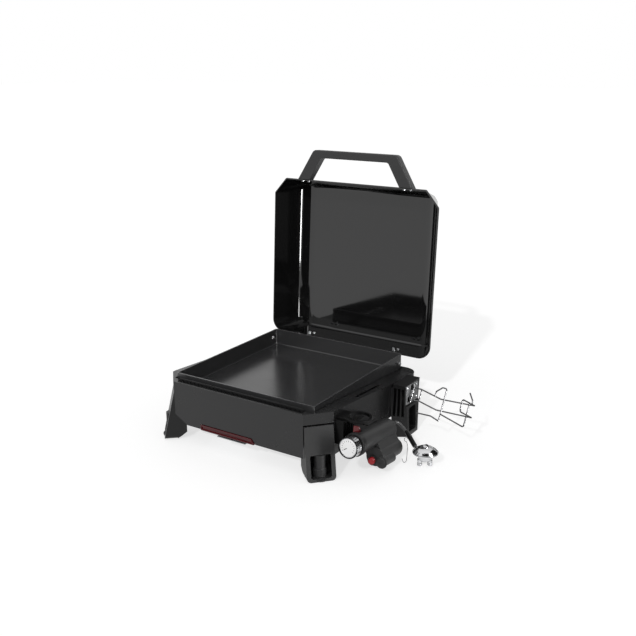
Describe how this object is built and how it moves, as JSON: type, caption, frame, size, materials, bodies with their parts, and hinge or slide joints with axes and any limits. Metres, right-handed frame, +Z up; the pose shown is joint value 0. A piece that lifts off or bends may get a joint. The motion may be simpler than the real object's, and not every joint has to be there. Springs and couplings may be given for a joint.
{
  "type": "outdoor gas griddle station",
  "caption": "Tabletop gas griddle with an open steel cooktop, a hinged lid with a trapezoid handle, a grease tray, an igniter unit and a folding wire cradle for a gas cylinder.",
  "frame": {"origin": "ground level, under the middle of the whole object with its lid open and without the hose, regulator and match holder", "axes": "+Z up, +Y towards the hinge side, +X towards the control side and the wire rack"},
  "size_m": [0.8179, 0.7051, 0.7341],
  "materials": {
    "black_enamel": "gloss",
    "body_paint": "satin",
    "cook_steel": "satin",
    "zinc_steel": "satin",
    "galvanised": "spangled",
    "stainless": "satin",
    "moulded_black": "matte",
    "handle_black": "matte",
    "wire_plate": "bright",
    "chrome": "polished",
    "white_face": "satin",
    "red_plastic": "satin",
    "rubber": "matte",
    "brass": "satin"
  },
  "bodies": {
    "base": {"body_shell": "body_paint", "heat_shield": "galvanised", "vent_comb": "body_paint", "support_front": "galvanised", "support_rear": "galvanised", "cooktop": "cook_steel", "cooktop_studs": "zinc_steel", "drain_chute": "stainless", "tray_runners": "galvanised", "front_leg_right": "moulded_black", "front_leg_left": "moulded_black", "levelling_pad_right": "rubber", "levelling_pad_left": "rubber", "rear_leg_right": "moulded_black", "rear_leg_left": "moulded_black", "rear_pad_right": "rubber", "rear_pad_left": "rubber", "hinge_bracket_left": "body_paint", "hinge_bracket_right": "body_paint", "hinge_pin_left": "zinc_steel", "hinge_pin_right": "zinc_steel", "burner": "stainless", "burner_brackets": "galvanised", "gas_outlet": "brass", "igniter_electrode": "white_face", "ignition_lead": "rubber", "control_housing": "moulded_black", "control_bracket": "moulded_black", "knob_bezel": "moulded_black", "battery_cap": "moulded_black", "ring_bracket": "moulded_black", "rack_plate": "galvanised", "rack_screws": "zinc_steel", "gas_hose": "rubber", "hose_ferrule": "moulded_black", "hose_end": "zinc_steel", "regulator_body": "chrome", "regulator_dome": "chrome", "regulator_ports": "chrome", "match_holder": "wire_plate"},
    "lid": {"lid_shell": "black_enamel", "lid_handle": "handle_black", "handle_screws": "zinc_steel", "hinge_leaf_left": "body_paint", "hinge_leaf_right": "body_paint", "hinge_bolts": "zinc_steel"},
    "tray": {"grease_tray": "zinc_steel", "tray_handle": "red_plastic"},
    "stem": {"knob_stem": "brass"},
    "knob": {"control_knob": "chrome", "knob_cap": "white_face"},
    "button": {"igniter_button": "red_plastic"},
    "lock": {"lock_tab": "red_plastic"},
    "wheel_right": {"levelling_wheel_right": "moulded_black"},
    "wheel_left": {"levelling_wheel_left": "moulded_black"},
    "rack": {"rack_frame": "wire_plate", "rack_loops": "wire_plate"}
  },
  "joints": [
    {"name": "lid_hinge", "type": "hinge", "parent": "base", "child": "lid", "pos_m": [-0.091, 0.185, 0.138], "axis": [1, 0, 0], "range_deg": [0, 93]},
    {"name": "tray_slide", "type": "slide", "parent": "base", "child": "tray", "axis": [0, -1, 0], "range_m": [0, 0.185]},
    {"name": "knob_push", "type": "slide", "parent": "base", "child": "stem", "axis": [0, 0.9925, -0.1219], "range_m": [0, 0.004], "stiffness_N_per_m": 900},
    {"name": "knob_turn", "type": "hinge", "parent": "stem", "child": "knob", "pos_m": [0.227, -0.296, 0.098], "axis": [0, -0.9925, 0.1219], "range_deg": [0, 180]},
    {"name": "igniter_press", "type": "slide", "parent": "base", "child": "button", "axis": [0, 0.9925, -0.1219], "range_m": [0, 0.005], "stiffness_N_per_m": 600},
    {"name": "lock_slide", "type": "slide", "parent": "base", "child": "lock", "axis": [0, 0.9925, -0.1219], "range_m": [0, 0.003], "stiffness_N_per_m": 500},
    {"name": "wheel_right_turn", "type": "hinge", "parent": "base", "child": "wheel_right", "pos_m": [0.15092, -0.31195, 0.02], "axis": [0, 0, 1], "range_deg": [-180, 180]},
    {"name": "wheel_left_turn", "type": "hinge", "parent": "base", "child": "wheel_left", "pos_m": [-0.33292, -0.31195, 0.02], "axis": [0, 0, 1], "range_deg": [-180, 180]},
    {"name": "rack_fold", "type": "hinge", "parent": "base", "child": "rack", "pos_m": [0.2265, 0.03837, 0.12279], "axis": [0, -0.5349, -0.8449], "range_deg": [0, 60]}
  ]
}
